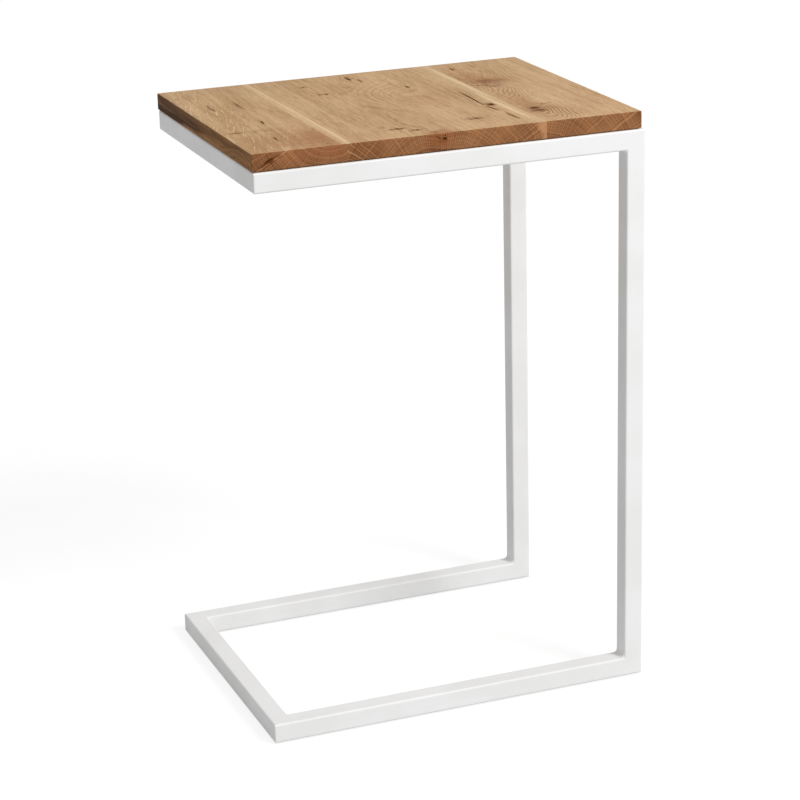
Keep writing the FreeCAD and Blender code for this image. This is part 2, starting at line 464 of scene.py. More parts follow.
def bead_section(bead, along):
    """The points of the bead's section at a distance along it, in metres from its middle."""
    to_tip = (bead.length / 2 - abs(along)) / bead.taper
    swell = math.sqrt(min(1.0, max(0.0, to_tip)))
    size = bead.leg * (bead_tip_share + (1 - bead_tip_share) * swell)
    size *= 1 + bead.ripple * math.sin(2 * math.pi * along / ripple_pitch)
    past_flat = min(tube_edge, max(0.0, abs(along) - tube_flat / 2))
    sink = tube_edge - math.sqrt(tube_edge ** 2 - past_flat ** 2)
    run = bead.first.cross(bead.second)
    root = bead.corner + run * along - (bead.first + bead.second) * sink
    points = [root]
    for step in range(bead_arc_steps + 1):
        share = step / bead_arc_steps
        curve = 2 * share * (1 - share) * bead_curve_share
        first, second = (1 - share) ** 2 + curve, share ** 2 + curve
        points.append(root + (bead.first * first + bead.second * second) * size)
    return points


def lay_beads(piece_name, node, beads):
    shape = bmesh.new()
    for bead in beads:
        steps = math.ceil(bead.length / bead_step)
        rings = []
        for step in range(steps + 1):
            section = bead_section(bead, (step / steps - 0.5) * bead.length)
            rings.append([shape.verts.new(point) for point in section])
        skin(shape, rings, capped=True)
    add_piece(piece_name, to_mesh(piece_name, shape, white_coat), "white_coat", node)


print("a bead's section has", bead_arc_steps + 2, "points")

# %% Where the tubes meet
right, back, up = Vector((1, 0, 0)), Vector((0, 1, 0)), Vector((0, 0, 1))
sides = {"front": -1, "back": 1}
tube_bead_length = 19.2 * MM
tube_bead_taper = 1.6 * MM
smooth_ripple = 0.012

upright_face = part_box("front_upright")[0].x
base_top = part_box("base_front_rail")[1].z
head_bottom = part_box("top_front_rail")[0].z


def reach_of(node, axis):
    """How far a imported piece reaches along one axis."""
    low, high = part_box(node)
    return high[axis] - low[axis]


def middle_of(node):
    low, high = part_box(node)
    return (low + high) / 2


def tube_bead(corner, first, second, leg):
    return Bead(Vector(corner), first, second, leg,
                tube_bead_length, tube_bead_taper, smooth_ripple)


print("the uprights start", round(base_top, 4), "m up and end", round(head_bottom, 4), "m up")

# %% Lay the frame's beads
foot_beads, head_beads, base_beads, top_beads, cross_beads = [], [], [], [], []
corner_leg = reach_of("cross_rail_welds", 2)
for side, outward in sides.items():
    rail_y = middle_of(f"base_{side}_rail").y
    inner_y = rail_y - outward * reach_of(f"base_{side}_rail", 1) / 2
    inward = back * -outward
    foot = (upright_face, rail_y, base_top)
    foot_beads.append(tube_bead(foot, -right, up, reach_of("upright_foot_welds", 2)))
    head = (upright_face, rail_y, head_bottom)
    head_beads.append(tube_bead(head, -right, -up, reach_of("upright_head_welds", 2)))
    base_corner = (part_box("base_left_rail")[1].x, inner_y, middle_of("base_left_rail").z)
    base_beads.append(tube_bead(base_corner, right, inward, corner_leg))
    cross_end = (middle_of("top_right_rail").x, inner_y, head_bottom)
    cross_beads.append(tube_bead(cross_end, inward, -up, corner_leg))
    for inner_x, facing in ((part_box("top_left_rail")[1].x, right), (upright_face, -right)):
        top_corner = (inner_x, inner_y, middle_of("top_left_rail").z)
        top_beads.append(tube_bead(top_corner, facing, inward, corner_leg))

lay_beads("foot_beads", "upright_foot_welds", foot_beads)
lay_beads("head_beads", "upright_head_welds", head_beads)
lay_beads("base_corner_beads", "base_corner_welds", base_beads)
lay_beads("top_corner_beads", "top_corner_welds", top_beads)
lay_beads("cross_rail_beads", "cross_rail_welds", cross_beads)

# %% Lay the short beads on the plates
plate_bead_length = 12.0 * MM
plate_bead_taper = 1.2 * MM
plate_ripple = 0.09
plate_corner_cut = 6.0 * MM

plate_beads = []
plate_leg = reach_of("plate_welds", 2)
for side, outward in sides.items():
    for end, facing in (("left", right), ("right", -right)):
        low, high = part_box(f"fixing_plate_{side}_{end}")
        corner = Vector((low.x if end == "left" else high.x,
                         low.y if side == "front" else high.y, low.z))
        inward = back * -outward
        middle = (plate_corner_cut + high.x - low.x) / 2
        for along, across in ((facing, inward), (inward, facing)):
            plate_beads.append(Bead(corner + along * middle, across, -up, plate_leg,
                                    plate_bead_length, plate_bead_taper, plate_ripple))

lay_beads("plate_beads", "plate_welds", plate_beads)

# %% [markdown]
# ## Zinc and felt
# The screws and washers that hold the top are zinc plated: a mirror dulled by fine scratches and
# a faint mottle. The pads under the base are pressed wool, a tangle of fibres with soft lumps and
# a little sheen. Both could be one plain colour at this size, but a close look from below would
# show it.

# %% Mix the zinc and the felt
zinc_cool = paint(206, 208, 210)
zinc_warm = paint(216, 210, 196)
mottle_size_mm = (1.8, 1.8, 1.8)
mottle_range = (0.35, 0.65)
scratch_size_mm = (0.15, 2.5, 0.15)
scratch_depth_mm = 0.01
zinc_range = (0.7, 1.3)
zinc_roughness = (0.24, 0.46)
felt_pale = paint(214, 211, 204)
felt_deep = paint(178, 174, 165)
felt_fibre_mm = (0.25, 0.25, 0.9)
felt_lump_mm = (1.6, 1.6, 1.6)
felt_lump_height = 0.5
felt_range = (0.5, 1.0)
felt_depth_mm = 0.25
felt_fibre_range = (0.3, 0.7)
felt_roughness = (0.88, 1.0)
felt_sheen = 0.35


def zinc_plate():
    recipe = Recipe("zinc_plate")
    place = recipe.place()
    mottle = recipe.noise(place, mottle_size_mm, detail=3.0)
    scratches = recipe.noise(place, scratch_size_mm, seed=2.0, detail=1.0)
    colour = recipe.blend(recipe.ease(mottle, *mottle_range), zinc_cool, zinc_warm)
    roughness = recipe.ease(mottle + scratches, *zinc_range, *zinc_roughness)
    normal = recipe.bump(scratches, scratch_depth_mm)
    return recipe.finish(colour, roughness, normal, Metallic=1.0)


def wool_felt():
    recipe = Recipe("wool_felt")
    place = recipe.place()
    fibres = recipe.noise(place, felt_fibre_mm, detail=3.0)
    height = fibres + recipe.noise(place, felt_lump_mm, seed=4.0) * felt_lump_height
    colour = recipe.blend(recipe.ease(height, *felt_range), felt_deep, felt_pale)
    roughness = recipe.ease(fibres, *felt_fibre_range, *felt_roughness)
    normal = recipe.bump(height, felt_depth_mm)
    return recipe.finish(colour, roughness, normal, Sheen_Weight=felt_sheen)


zinc = zinc_plate()
felt = wool_felt()

# %% [markdown]
# ## Screws
# Four pan-head screws hold the top from below, through slots in the plates that let the wood
# move. They are turned parts, so they are built as rings from end to end. Blender's screw
# modifier could wind the thread, but as a loose strip round the core. Here each point is pushed
# out by where it lies on the winding, so the screw stays one closed mesh. The cross in the head
# is cut with a boolean, which gives it crisp walls.

# %% A turned shape
def add_turned(shape, foot, levels, corners, swell=None, closed=False):
    """Rings round an upright axis. A level is a radius and a height over foot, in millimetres."""
    rings = []
    for radius, height in levels:
        ring = []
        for corner in range(corners if radius else 1):
            turn = corner / corners
            out = radius + (swell(turn, height) if swell and radius else 0.0)
            angle = 2 * math.pi * turn
            point = Vector((math.cos(angle) * out, math.sin(angle) * out, height))
            ring.append(shape.verts.new(foot + point * MM))
        rings.append(ring)
    skin(shape, rings, closed)


screws_low, screws_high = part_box("top_screws")
screw_height_mm = (screws_high.z - screws_low.z) * MM_PER_M
print("the screws are", round(screw_height_mm, 1), "mm high")

# %% The head and the thread
head_levels_mm = ((0.0, 0.0), (1.4, 0.04), (2.8, 0.32), (3.7, 0.85),
                  (4.3, 1.6), (4.5, 2.3), (4.5, 2.75), (4.3, 3.0))
head_height_mm = head_levels_mm[-1][1]
thread_length_mm = screw_height_mm - head_height_mm
thread_core_mm = 1.55
thread_crest_mm = 0.68
thread_pitch_mm = 1.8
thread_half_share = 0.32
thread_rise_mm = 0.22
screw_tip_mm = 4.0
screw_tip_radius_mm = 0.4


def tip_taper(height):
    """1 along the screw, falling to 0 at its tip."""
    return min(1.0, (screw_height_mm - height) / screw_tip_mm)


def thread_ridge(turn, height):
    """How far the thread stands out of the screw's core; nothing on the head."""
    if height <= head_height_mm:
        return 0.0
    phase = (height / thread_pitch_mm - turn) % 1.0
    return max(0.0, 1 - abs(phase - 0.5) / thread_half_share) * thread_crest_mm * tip_taper(height)


def screw_levels():
    levels = list(head_levels_mm)
    steps = math.ceil(thread_length_mm / thread_rise_mm)
    for step in range(steps + 1):
        height = head_height_mm + thread_length_mm * step / steps
        core = screw_tip_radius_mm + (thread_core_mm - screw_tip_radius_mm) * tip_taper(height)
        levels.append((core, height))
    return levels + [(0.0, screw_height_mm)]


print("each thread goes round", round(thread_length_mm / thread_pitch_mm, 1), "times")

# %% The cross in the head
cross_width_mm = 1.1
cross_reach_mm = 2.6
cross_depth_mm = 1.7
cross_taper_share = 0.6


def add_cross(shape, foot):
    """Two crossed bars that taper as they go into the head, for the boolean."""
    for long_x in (True, False):
        layers = []
        for height, share in ((-cross_width_mm / 2, 1.0), (cross_depth_mm, cross_taper_share)):
            reach, half = cross_reach_mm * share, cross_width_mm / 2 * share
            x, y = (reach, half) if long_x else (half, reach)
            corners = [Vector((x * a, y * b, height)) * MM for a, b in SQUARE]
            layers.append([shape.verts.new(foot + corner) for corner in corners])
        skin(shape, layers, capped=True)


def cut_away(block_mesh, cutter_mesh):
    """The block less the cutter's shape; the new walls keep the cutter's material."""
    block = bpy.data.objects.new("block", block_mesh)
    cutter = bpy.data.objects.new("cutter", cutter_mesh)
    for helper in (block, cutter):
        bpy.context.scene.collection.objects.link(helper)
    cut = block.modifiers.new("cut", "BOOLEAN")
    cut.object = cutter
    cut.solver = "EXACT"
    cut.use_self = True
    cut.material_mode = "TRANSFER"
    graph = bpy.context.evaluated_depsgraph_get()
    mesh = bpy.data.meshes.new_from_object(block.evaluated_get(graph))
    for helper in (block, cutter):
        bpy.data.objects.remove(helper)
    return mesh


print("the cross goes", cross_depth_mm, "mm into the head")

# %% Turn the screws
screw_corners = 24

head_radius = max(radius for radius, height in head_levels_mm) * MM
screw_feet = [Vector((x, y, screws_low.z))
              for x in (screws_low.x + head_radius, screws_high.x - head_radius)
              for y in (screws_low.y + head_radius, screws_high.y - head_radius)]
screws, crosses = bmesh.new(), bmesh.new()
for foot in screw_feet:
    add_turned(screws, foot, screw_levels(), screw_corners, thread_ridge)
    add_cross(crosses, foot)
screw_mesh = cut_away(to_mesh("screws", screws, zinc), to_mesh("crosses", crosses, zinc))
add_piece("wood_screws", screw_mesh, "zinc_steel", "top_screws")

# %% [markdown]
# ## Washers and pads
# A washer is a ring with a square section, its edges broken where it was stamped. A felt pad is a
# disc whose rim is soft and a little ragged, so each point of its rim is pulled in by chance. The
# chance starts from a fixed seed, so that every run gives the same pads. Both are turned like the
# screws, because rings of points take any section.

# %% Washers
washer_corners = 40
washer_bore_mm = 2.5
washer_edge_mm = 0.22

washers_low, washers_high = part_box("screw_washers")
washer_radius_mm = (screw_feet[0].x - washers_low.x) * MM_PER_M
washer_height_mm = (washers_high.z - washers_low.z) * MM_PER_M
washer_levels = []
for radius, turn_in in ((washer_bore_mm, 1), (washer_radius_mm, -1)):
    rim = radius + turn_in * washer_edge_mm
    edge = [(rim, 0.0), (radius, washer_edge_mm), (radius, washer_height_mm - washer_edge_mm),
            (rim, washer_height_mm)]
    washer_levels += edge if turn_in < 0 else edge[::-1]
washers = bmesh.new()
for foot in screw_feet:
    underside = Vector((foot.x, foot.y, washers_low.z))
    add_turned(washers, underside, washer_levels, washer_corners, closed=True)
add_piece("washers", to_mesh("washers", washers, zinc), "zinc_steel", "screw_washers")

# %% Felt pads
pad_seed = 5
pad_corners = 48
pad_ragged_mm = 0.12
pad_shares = ((0.0, 0.0), (0.55, 0.0), (0.90, 0.0), (0.96, 0.08), (0.99, 0.28),
              (1.0, 0.55), (0.98, 0.82), (0.93, 1.0), (0.55, 1.0), (0.0, 1.0))


def ragged(turn, height):
    return -random.random() * pad_ragged_mm


random.seed(pad_seed)
for name in [name for name in nodes if name.startswith("floor_pad")]:
    low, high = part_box(name)
    radius_mm, height_mm = (high.x - low.x) / 2 * MM_PER_M, (high.z - low.z) * MM_PER_M
    levels = [(out * radius_mm, rise * height_mm) for out, rise in pad_shares]
    foot = Vector((middle_of(name).x, middle_of(name).y, low.z))
    pad = bmesh.new()
    add_turned(pad, foot, levels, pad_corners, ragged)
    add_piece(name.replace("floor", "felt"), to_mesh(name, pad, felt), "felt", name)

# %% [markdown]
# ## What the oak top is made of
# The top is three oak staves glued side by side, each from its own tree. What we see on a plank
# is a slice through that tree: rings round its heart, thin pale sheets of ray that point at the
# heart, and pale sapwood outside. So each stave says where the heart of its tree lay, and the
# pattern is worked out in space. The top, the ends and the sides then agree at every edge, which
# a flat picture wrapped round a block never does.

# %% Words for a stave
# Places and sizes are in millimetres on the table. A mark is a knot or stain, and may bend the
# rings round it. A blush is reddened wood, a gleam is a pale streak, and a curl is where the
# grain ripples round a knot. Splits and pits are open, and a check is a bold ray across the end.
# The heart's place is across and up at the front end, and the lean is how it drifts towards the
# back. The fleck is how strongly rays show on the top, where they may lean too. The tone darkens
# the top of a stave, and the sap radius is where its heartwood ends.
Mark = namedtuple("Mark", "place size strength bend", defaults=[0.0])
Curl = namedtuple("Curl", "place size strength knot")
Split = namedtuple("Split", "place length width depth along", defaults=[(0, 1, 0)])
Pit = namedtuple("Pit", "place radius")
Check = namedtuple("Check", "place run")
Stave = namedtuple("Stave", "side seed heart_place fleck tone marks splits "
                            "lean ray_lean sap_radius blushes gleams curls pits check",
                   defaults=[(0.0, 0.0), 0.0, None, (), (), (), (), None])

corner_low, corner_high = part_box("top_stave_left")
TOP = corner_high.z * MM_PER_M
UNDERSIDE = corner_low.z * MM_PER_M
FRONT = corner_low.y * MM_PER_M
LEFT = corner_low.x * MM_PER_M
print("the top lies", round(TOP, 1), "mm up and is", round(TOP - UNDERSIDE, 1), "mm thick")

# %% The left stave
left_stave = Stave(
    side="left", seed=11, heart_place=(-121.0, 628.0), lean=(0.01, 0.02), ray_lean=0.24,
    fleck=0.75, tone=0.10,
    marks=[Mark((-187.5, -61.5, TOP), (13, 3.6, 6), 0.90),
           Mark((-161, -63, TOP), (36, 11, 6), 0.36), Mark((-174, 56, TOP), (3.5, 19, 5), 0.50),
           Mark((-145.5, 57, TOP), (2.5, 28, 5), 0.38),
           Mark((-148.5, -28, TOP), (5, 11, 5), 0.40, 1.0),
           Mark((-160, -100, TOP), (4, 11, 5), 0.45), Mark((-190, FRONT, 588), (6, 5, 4), 0.45),
           Mark((-184.5, FRONT, 592), (8, 5, 4), 0.95),
           Mark((-176, FRONT, 596.5), (6, 5, 3), 0.45),
           Mark((LEFT, -112, 589), (8, 22, 8), 0.0, 7.0)],
    blushes=[Mark((-118, -112, TOP), (32, 78, 22), 0.80),
             Mark((-154, -118, TOP), (70, 62, 22), 0.55)],
    gleams=[Mark((-107.5, 0, TOP), (4.2, 320, 20), 0.4)],
    splits=[Split((-174, 65, TOP), 20, 1.0, 1.0), Split((-174.5, 47, TOP), 16, 1.2, 1.1),
            Split((-145.5, 57, TOP), 48, 1.2, 1.2),
            Split((-148.5, -28, TOP), 16, 1.6, 1.4, (2, 16, 0)),
            Split((-160, -100, TOP), 13, 1.7, 1.4),
            Split((-188, -61.5, TOP), 10, 0.9, 0.8, (17, 5, 0)),
            Split((-185, FRONT, 592.2), 10, 2.0, 2.0, (30, 0, 17))],
    check=Check((-183.0, 590.6), (30.0, 17.0)))
print("left stave:", len(left_stave.marks), "marks and", len(left_stave.splits), "splits")

# %% The middle stave
middle_stave = Stave(
    side="middle", seed=23, heart_place=(-13.0, 531.0), fleck=0.22, sap_radius=120.0, tone=0.0,
    marks=[Mark((-58.5, 107, TOP), (8, 4.5, 6), 0.50, 2.0),
           Mark((-51, 66, TOP), (9, 4.5, 6), 0.50, 2.0),
           Mark((-3, 126, TOP), (6, 11, 6), 0.50, 3.0), Mark((5, 112, TOP), (3, 11, 6), 0.35),
           Mark((37, 60, TOP), (3, 9, 6), 0.40, 1.0),
           Mark((10, 26, TOP), (20, 36, 20), 0.0, 18.0),
           Mark((-43, -115, TOP), (15, 6, 5), 0.80, 1.0),
           Mark((-28, -127, TOP), (11, 5, 5), 0.75, 1.0), Mark((-56, -103, TOP), (8, 8, 5), 0.35),
           Mark((79, -56, TOP), (8, 12, 8), 0.85, 4.0), Mark((74, -21, TOP), (3, 52, 6), 0.50),
           Mark((75, -73, TOP), (3, 18, 6), 0.45), Mark((78, -111, TOP), (3, 26, 6), 0.50),
           Mark((42, -107, TOP), (14, 7, 8), 0.75, 2.0), Mark((-16, -143, TOP), (6, 4, 4), 0.60),
           Mark((-4, -138, TOP), (8, 3, 4), 0.45), Mark((-11, FRONT, 595), (9, 9, 7), 0.40, 5.0)],
    blushes=[Mark((-12, -147, TOP), (24, 14, 20), 0.8), Mark((40, 0, TOP), (60, 60, 30), 0.25)],
    gleams=[Mark((-107, 0, TOP), (5.2, 320, 20), 0.4),
            Mark((-105, 70, TOP), (1.8, 110, 20), 0.45),
            Mark((-104, -75, TOP), (1.8, 110, 20), 0.5), Mark((93, 60, TOP), (3.2, 110, 20), 0.7),
            Mark((88, -60, TOP), (3.2, 90, 20), 0.6)],
    splits=[Split((-3, 126, TOP), 22, 2.0, 1.6), Split((5, 112, TOP), 17, 1.3, 1.2),
            Split((37, 60, TOP), 15, 1.9, 1.6), Split((74, -21, TOP), 76, 1.9, 1.4, (3, 74, 0)),
            Split((74.5, -73, TOP), 27, 1.6, 1.2, (-5, 26, 0)),
            Split((78, -113, TOP), 34, 1.3, 1.1, (-2, 38, 0)),
            Split((-15.5, FRONT, 596.5), 7, 0.8, 1.0, (7, 0, -5))],
    pits=[Pit((-58.5, 107, TOP), 1.4), Pit((-55, 68.5, TOP), 1.0), Pit((-48.5, 65, TOP), 1.5),
          Pit((-3, 121, TOP), 1.6), Pit((32, 107, TOP), 1.0), Pit((-43, -115, TOP), 1.5),
          Pit((-38, -115.5, TOP), 1.2), Pit((-49, -114, TOP), 1.0), Pit((-27, -128, TOP), 1.5),
          Pit((-31, -126, TOP), 1.1), Pit((79.5, -56, TOP), 3.4), Pit((42, -107, TOP), 1.3),
          Pit((-9, FRONT, 594.5), 1.6), Pit((-8.4, FRONT, 597.6), 0.8)])
print("middle stave:", len(middle_stave.marks), "marks and", len(middle_stave.splits), "splits")

# %% The right stave
right_stave = Stave(
    side="right", seed=37, heart_place=(87.0, 536.0), lean=(-0.02, 0.0), fleck=0.25, tone=-0.06,
    marks=[Mark((112.5, -90, TOP), (10, 8, 8), 0.85, 10.0),
           Mark((113.5, -102, TOP), (13, 9, 8), 0.80, 8.0),
           Mark((121, 43, TOP), (30, 26, 15), 0.22, 12.0),
           Mark((118, 49, TOP), (34, 14, 10), 0.26), Mark((108, 31, TOP), (10, 4, 6), 0.45),
           Mark((116, 22, TOP), (14, 8, 8), 0.40, 4.0),
           Mark((129, -76, TOP), (10, 3, 6), 0.60, 1.0),
           Mark((111.5, 121, TOP), (5, 9, 5), 0.55, 2.0)],
    blushes=[Mark((112, 70, TOP), (22, 80, 20), 0.7), Mark((114, -60, TOP), (20, 90, 20), 0.55),
             Mark((124, 48, TOP), (44, 28, 20), 0.7), Mark((119, -95, TOP), (26, 30, 20), 0.7),
             Mark((98, 70, TOP), (5, 100, 20), 0.6), Mark((98, -80, TOP), (5, 90, 20), 0.6)],
    curls=[Curl((119, -6, TOP), (29, 64, 20), 0.56, knot=(98, 46, TOP)),
           Curl((128, -116, TOP), (30, 48, 20), 0.85, knot=(113, -97, TOP))],
    splits=[Split((112.5, -89.5, TOP), 9, 4.4, 3.0, (6, -2, 0)),
            Split((114, -103, TOP), 13, 2.6, 2.0, (14, -7, 0)),
            Split((111.5, 121, TOP), 11, 1.3, 1.4)],
    pits=[Pit((110, 114, TOP), 1.0), Pit((104, 33, TOP), 0.9), Pit((112, 28, TOP), 0.9),
          Pit((118, 22, TOP), 0.8)])
staves = [left_stave, middle_stave, right_stave]
print("right stave:", len(right_stave.marks), "marks and", len(right_stave.splits), "splits")

# %% [markdown]
# ## Growing the grain
# Blender has a wave texture that draws rings, but it knows nothing of knots and rays. So we first
# find where a point lies in its tree. Its place is nudged by slow noise, since no trunk is
# straight, and then measured from the heart: the distance gives the ring it is in, and the angle
# gives the ray. A knot is where a branch grew, and the rings swell round it, so each mark adds to
# the distance near it. Every layer of noise is long along the grain and short across it, as
# fibres are.

# %% A recipe for one stave
Layer = namedtuple("Layer", "size_mm step detail", defaults=[0, 2.0])
wander_layer, wander_mm = Layer((55.0, 200.0, 55.0), detail=1.0), 11.0
ripple_layer, ripple_mm = Layer((10.0, 38.0, 10.0)), 2.4
noise_middle = (0.5, 0.5, 0.5)


class OakRecipe(Recipe):
    """A recipe whose layers of noise start from the stave's own seed, each some steps on."""

    def __init__(self, stave):
        super().__init__("oak_" + stave.side)
        self.stave = stave
        self.spot = self.place()

    def layer(self, layer, place, output="Fac"):
        return self.noise(place, layer.size_mm, self.stave.seed + layer.step, layer.detail, output)

    def wandered(self):
        """A point's place, nudged as the trunk wanders and ripples."""
        answer = self.spot
        for layer, reach in ((wander_layer, wander_mm), (ripple_layer, ripple_mm)):
            lumps = self.layer(layer, self.spot, output="Color")
            centred = self.vector("SUBTRACT", lumps, noise_middle)
            nudge = self.vector("MULTIPLY", centred, (reach, 0.0, reach))
            answer = self.vector("ADD", answer, nudge)
        return answer

    def near_mark(self, place, mark, rag=0.0, reach=1.0, flat=0.0):
        """1 in the middle of a mark, as far as the share flat, and 0 at reach times its size.
        The amount rag frays its edge."""
        shift = self.vector("SUBTRACT", place, mark.place)
        share = self.vector("DIVIDE", shift, [reach * side for side in mark.size])
        return self.ease(self.length(share) + rag, flat, 1.0, 1.0, 0.0)

    def dab(self, colour, tint, place, marks, **edge):
        """The colour with a tint dabbed on at each mark, as strongly as the mark says."""
        for mark in marks:
            colour = self.blend(self.near_mark(place, mark, **edge) * mark.strength, colour, tint)
        return colour


print("a trunk wanders by up to", wander_mm / 2, "mm and ripples by", ripple_mm / 2)

# %% A point's place in its tree
ray_reference_mm = 90.0
bend_reach = 2.6

Tree = namedtuple("Tree", "distance round_heart lying crowd")


def in_tree(recipe, place):
    """A point's distance from its tree's heart and its angle as a length, with how flat the
    rays lie there and how near a knot is."""
    stave = recipe.stave
    x, y, z = recipe.parts(place)
    from_front = y - FRONT
    aside = x - (from_front * stave.lean[0] + stave.heart_place[0])
    above = z - (from_front * stave.lean[1] + stave.heart_place[1])
    straight = recipe.length(recipe.join(aside, 0.0, above))
    round_heart = recipe.math("ARCTAN2", aside, above) * ray_reference_mm
    distance, crowd = straight, 0.0
    for mark in stave.marks:
        if mark.bend:
            close = recipe.near_mark(place, mark, reach=bend_reach)
            distance = distance + close * mark.bend
            crowd = recipe.math("MAXIMUM", crowd, close)
    return Tree(distance, round_heart, abs(aside) / straight, crowd)


bending = [mark for stave in staves for mark in stave.marks if mark.bend]
print("marks that bend the rings:", len(bending))

# %% Flecks and spokes of ray
strand_layer, strand_range = Layer((1.15, 110.0, 30.0), 4, 0.0), (0.56, 0.64)
break_layer, break_range = Layer((3.2, 15.0, 20.0), 5), (0.46, 0.56)
fan_layer, fan_reach_mm = Layer((60.0, 60.0, 60.0), 6, 0.0), 12.0
lying_range = (0.55, 0.95)
jitter_layer, jitter_turns = Layer((9.0, 400.0, 80.0), 6, 0.0), 2.5
spoke_pitch_mm = 3.0
spoke_half_share = 0.20
spoke_strength = (0.25, 1.0)


def flecks_of(recipe, tree):
    """Pale slips of ray on the top: strands that lean and fan a little, broken into bits."""
    x, y, z = recipe.parts(recipe.spot)
    fan = recipe.layer(fan_layer, recipe.spot) * fan_reach_mm
    leaning = recipe.join(x + y * -recipe.stave.ray_lean + fan, y, z)
    strands = recipe.ease(recipe.layer(strand_layer, leaning), *strand_range)
    broken = recipe.ease(recipe.layer(break_layer, leaning), *break_range)
    return strands * broken * recipe.ease(tree.lying, *lying_range)


def spokes_of(recipe, tree):
    """Rays on the end: fine lines that point at the heart, some bolder than others."""
    y = recipe.parts(recipe.spot)[1]
    jitter = recipe.layer(jitter_layer, recipe.join(tree.round_heart, y, tree.distance))
    turns = tree.round_heart / spoke_pitch_mm + jitter * jitter_turns
    bold = recipe.ease(recipe.chance(turns), 0.0, 1.0, *spoke_strength)
    return recipe.near(recipe.math("FRACT", turns), 0.5, spoke_half_share) * bold


print("rays on the end stand about", spoke_pitch_mm, "mm apart")

# %% Rings, pores and fibres
ring_width_mm = 3.0
year_layer, year_drift = Layer((9.0, 1.0, 1.0), detail=1.0), 3.0
fibre_layer = Layer((1.0, 28.0, 1.0))
streak_layer = Layer((3.8, 130.0, 3.8), 1)
patch_layer, patch_range = Layer((40.0, 110.0, 40.0), 2), (0.42, 0.62)
dash_layer, dash_range = Layer((2.0, 18.0, 2.0), 11), (0.36, 0.60)
crowd_range, crowd_strength = (0.05, 0.45), 0.8
line_share = 0.34
dense_range = (0.1, 0.95)
early_half_share = 0.16
pore_layer, pore_range = Layer((0.5, 7.0, 0.5), 3, 1.0), (0.58, 0.68)
pore_share, pores_in_dense = 0.4, 0.3
rag_layer, rag_share = Layer((3.5, 7.0, 3.5), 7), 0.9

Grain = namedtuple("Grain", "place distance dense line early ring_shade dashes fibres streaks "
                            "patches pores flecks spokes rag")


def grain_of(recipe):
    """All the measures of the wood that its colours are mixed from."""
    place = recipe.wandered()
    tree = in_tree(recipe, place)
    drift = recipe.layer(year_layer, recipe.join(tree.distance))
    count = tree.distance / ring_width_mm + drift * year_drift
    ring = recipe.math("FRACT", count)
    patches, dashes = recipe.layer(patch_layer, place), recipe.layer(dash_layer, place)
    clear = recipe.ease(patches, *patch_range) * recipe.ease(dashes, *dash_range)
    crowded = recipe.ease(tree.crowd, *crowd_range, 0.0, crowd_strength)
    clear = recipe.math("MAXIMUM", clear, crowded)
    open_pores = recipe.ease(recipe.layer(pore_layer, place), *pore_range)
    return Grain(
        place=place, distance=tree.distance, patches=patches, dashes=dashes,
        dense=recipe.ease(ring, *dense_range),
        line=recipe.ease(ring, 0.0, line_share, 1.0, 0.0) * clear,
        early=recipe.near(ring, 0.5, early_half_share), ring_shade=recipe.chance(count),
        fibres=recipe.layer(fibre_layer, place), streaks=recipe.layer(streak_layer, place),
        pores=open_pores * recipe.ease(ring, 0.0, pore_share, 1.0, pores_in_dense),
        flecks=flecks_of(recipe, tree), spokes=spokes_of(recipe, tree),
        rag=recipe.layer(rag_layer, place) * rag_share - rag_share / 2)


print("a year's ring is about", ring_width_mm, "mm wide")

# %% [markdown]
# ## The colour of the top
# Oak is ring porous: each ring starts with a row of open pores, drawn out into short dark dashes
# on the top, and ends in dense brown wood. Across that run fine fibres and the pale rays. A
# photograph of a plank could be laid on, but it would end at the edges. So the top is mixed from
# the measures of the wood, each with its weight, and then reddened, rippled and lightened where
# the real planks are.

# %% Sapwood and curly wood
top_pale = paint(212, 177, 136)
top_curl = paint(142, 100, 64)
curl_layer, curl_sway_mm = Layer((18.0, 20.0, 18.0), 12), 8.0
curl_squash = (1.0, 0.34, 0.0)
curl_pitch_mm = 3.4
sap_layer, sap_waver_mm = Layer((8.0, 28.0, 8.0), 8), 9.0
sap_fade_mm = 4.0


def sapwood(recipe, grain):
    """1 in the pale wood outside the heartwood, with an uneven border."""
    radius = recipe.stave.sap_radius
    edge = grain.distance + recipe.layer(sap_layer, grain.place) * sap_waver_mm - sap_waver_mm / 2
    return recipe.ease(edge, radius - sap_fade_mm, radius + sap_fade_mm / 2)


def curly_wood(recipe, grain, curl):
    """Fine wavy lines, pale and dark, where the grain is squeezed round a knot."""
    shift = recipe.vector("SUBTRACT", grain.place, curl.knot)
    from_knot = recipe.length(recipe.vector("MULTIPLY", shift, curl_squash))
    swayed = from_knot + recipe.layer(curl_layer, grain.place) * curl_sway_mm
    turn = recipe.math("FRACT", swayed / curl_pitch_mm)
    return recipe.blend(recipe.near(turn, 0.5, 0.5), top_pale, top_curl)


print("lines of curly wood stand", curl_pitch_mm, "mm apart")

# %% Colours of the top
top_deep = paint(168, 129, 90)
top_ray = paint(226, 195, 155)
top_gleam = paint(236, 207, 166)
top_blush = paint(166, 118, 81)
top_sap = paint(217, 187, 148)
top_weights = dict(dense=0.15, line=0.62, ring_shade=0.25, streaks=0.65, dashes=0.5,
                   fibres=0.95, patches=0.8)
top_start = -1.30
top_sap_share = 0.55
gleam_flat = 0.5


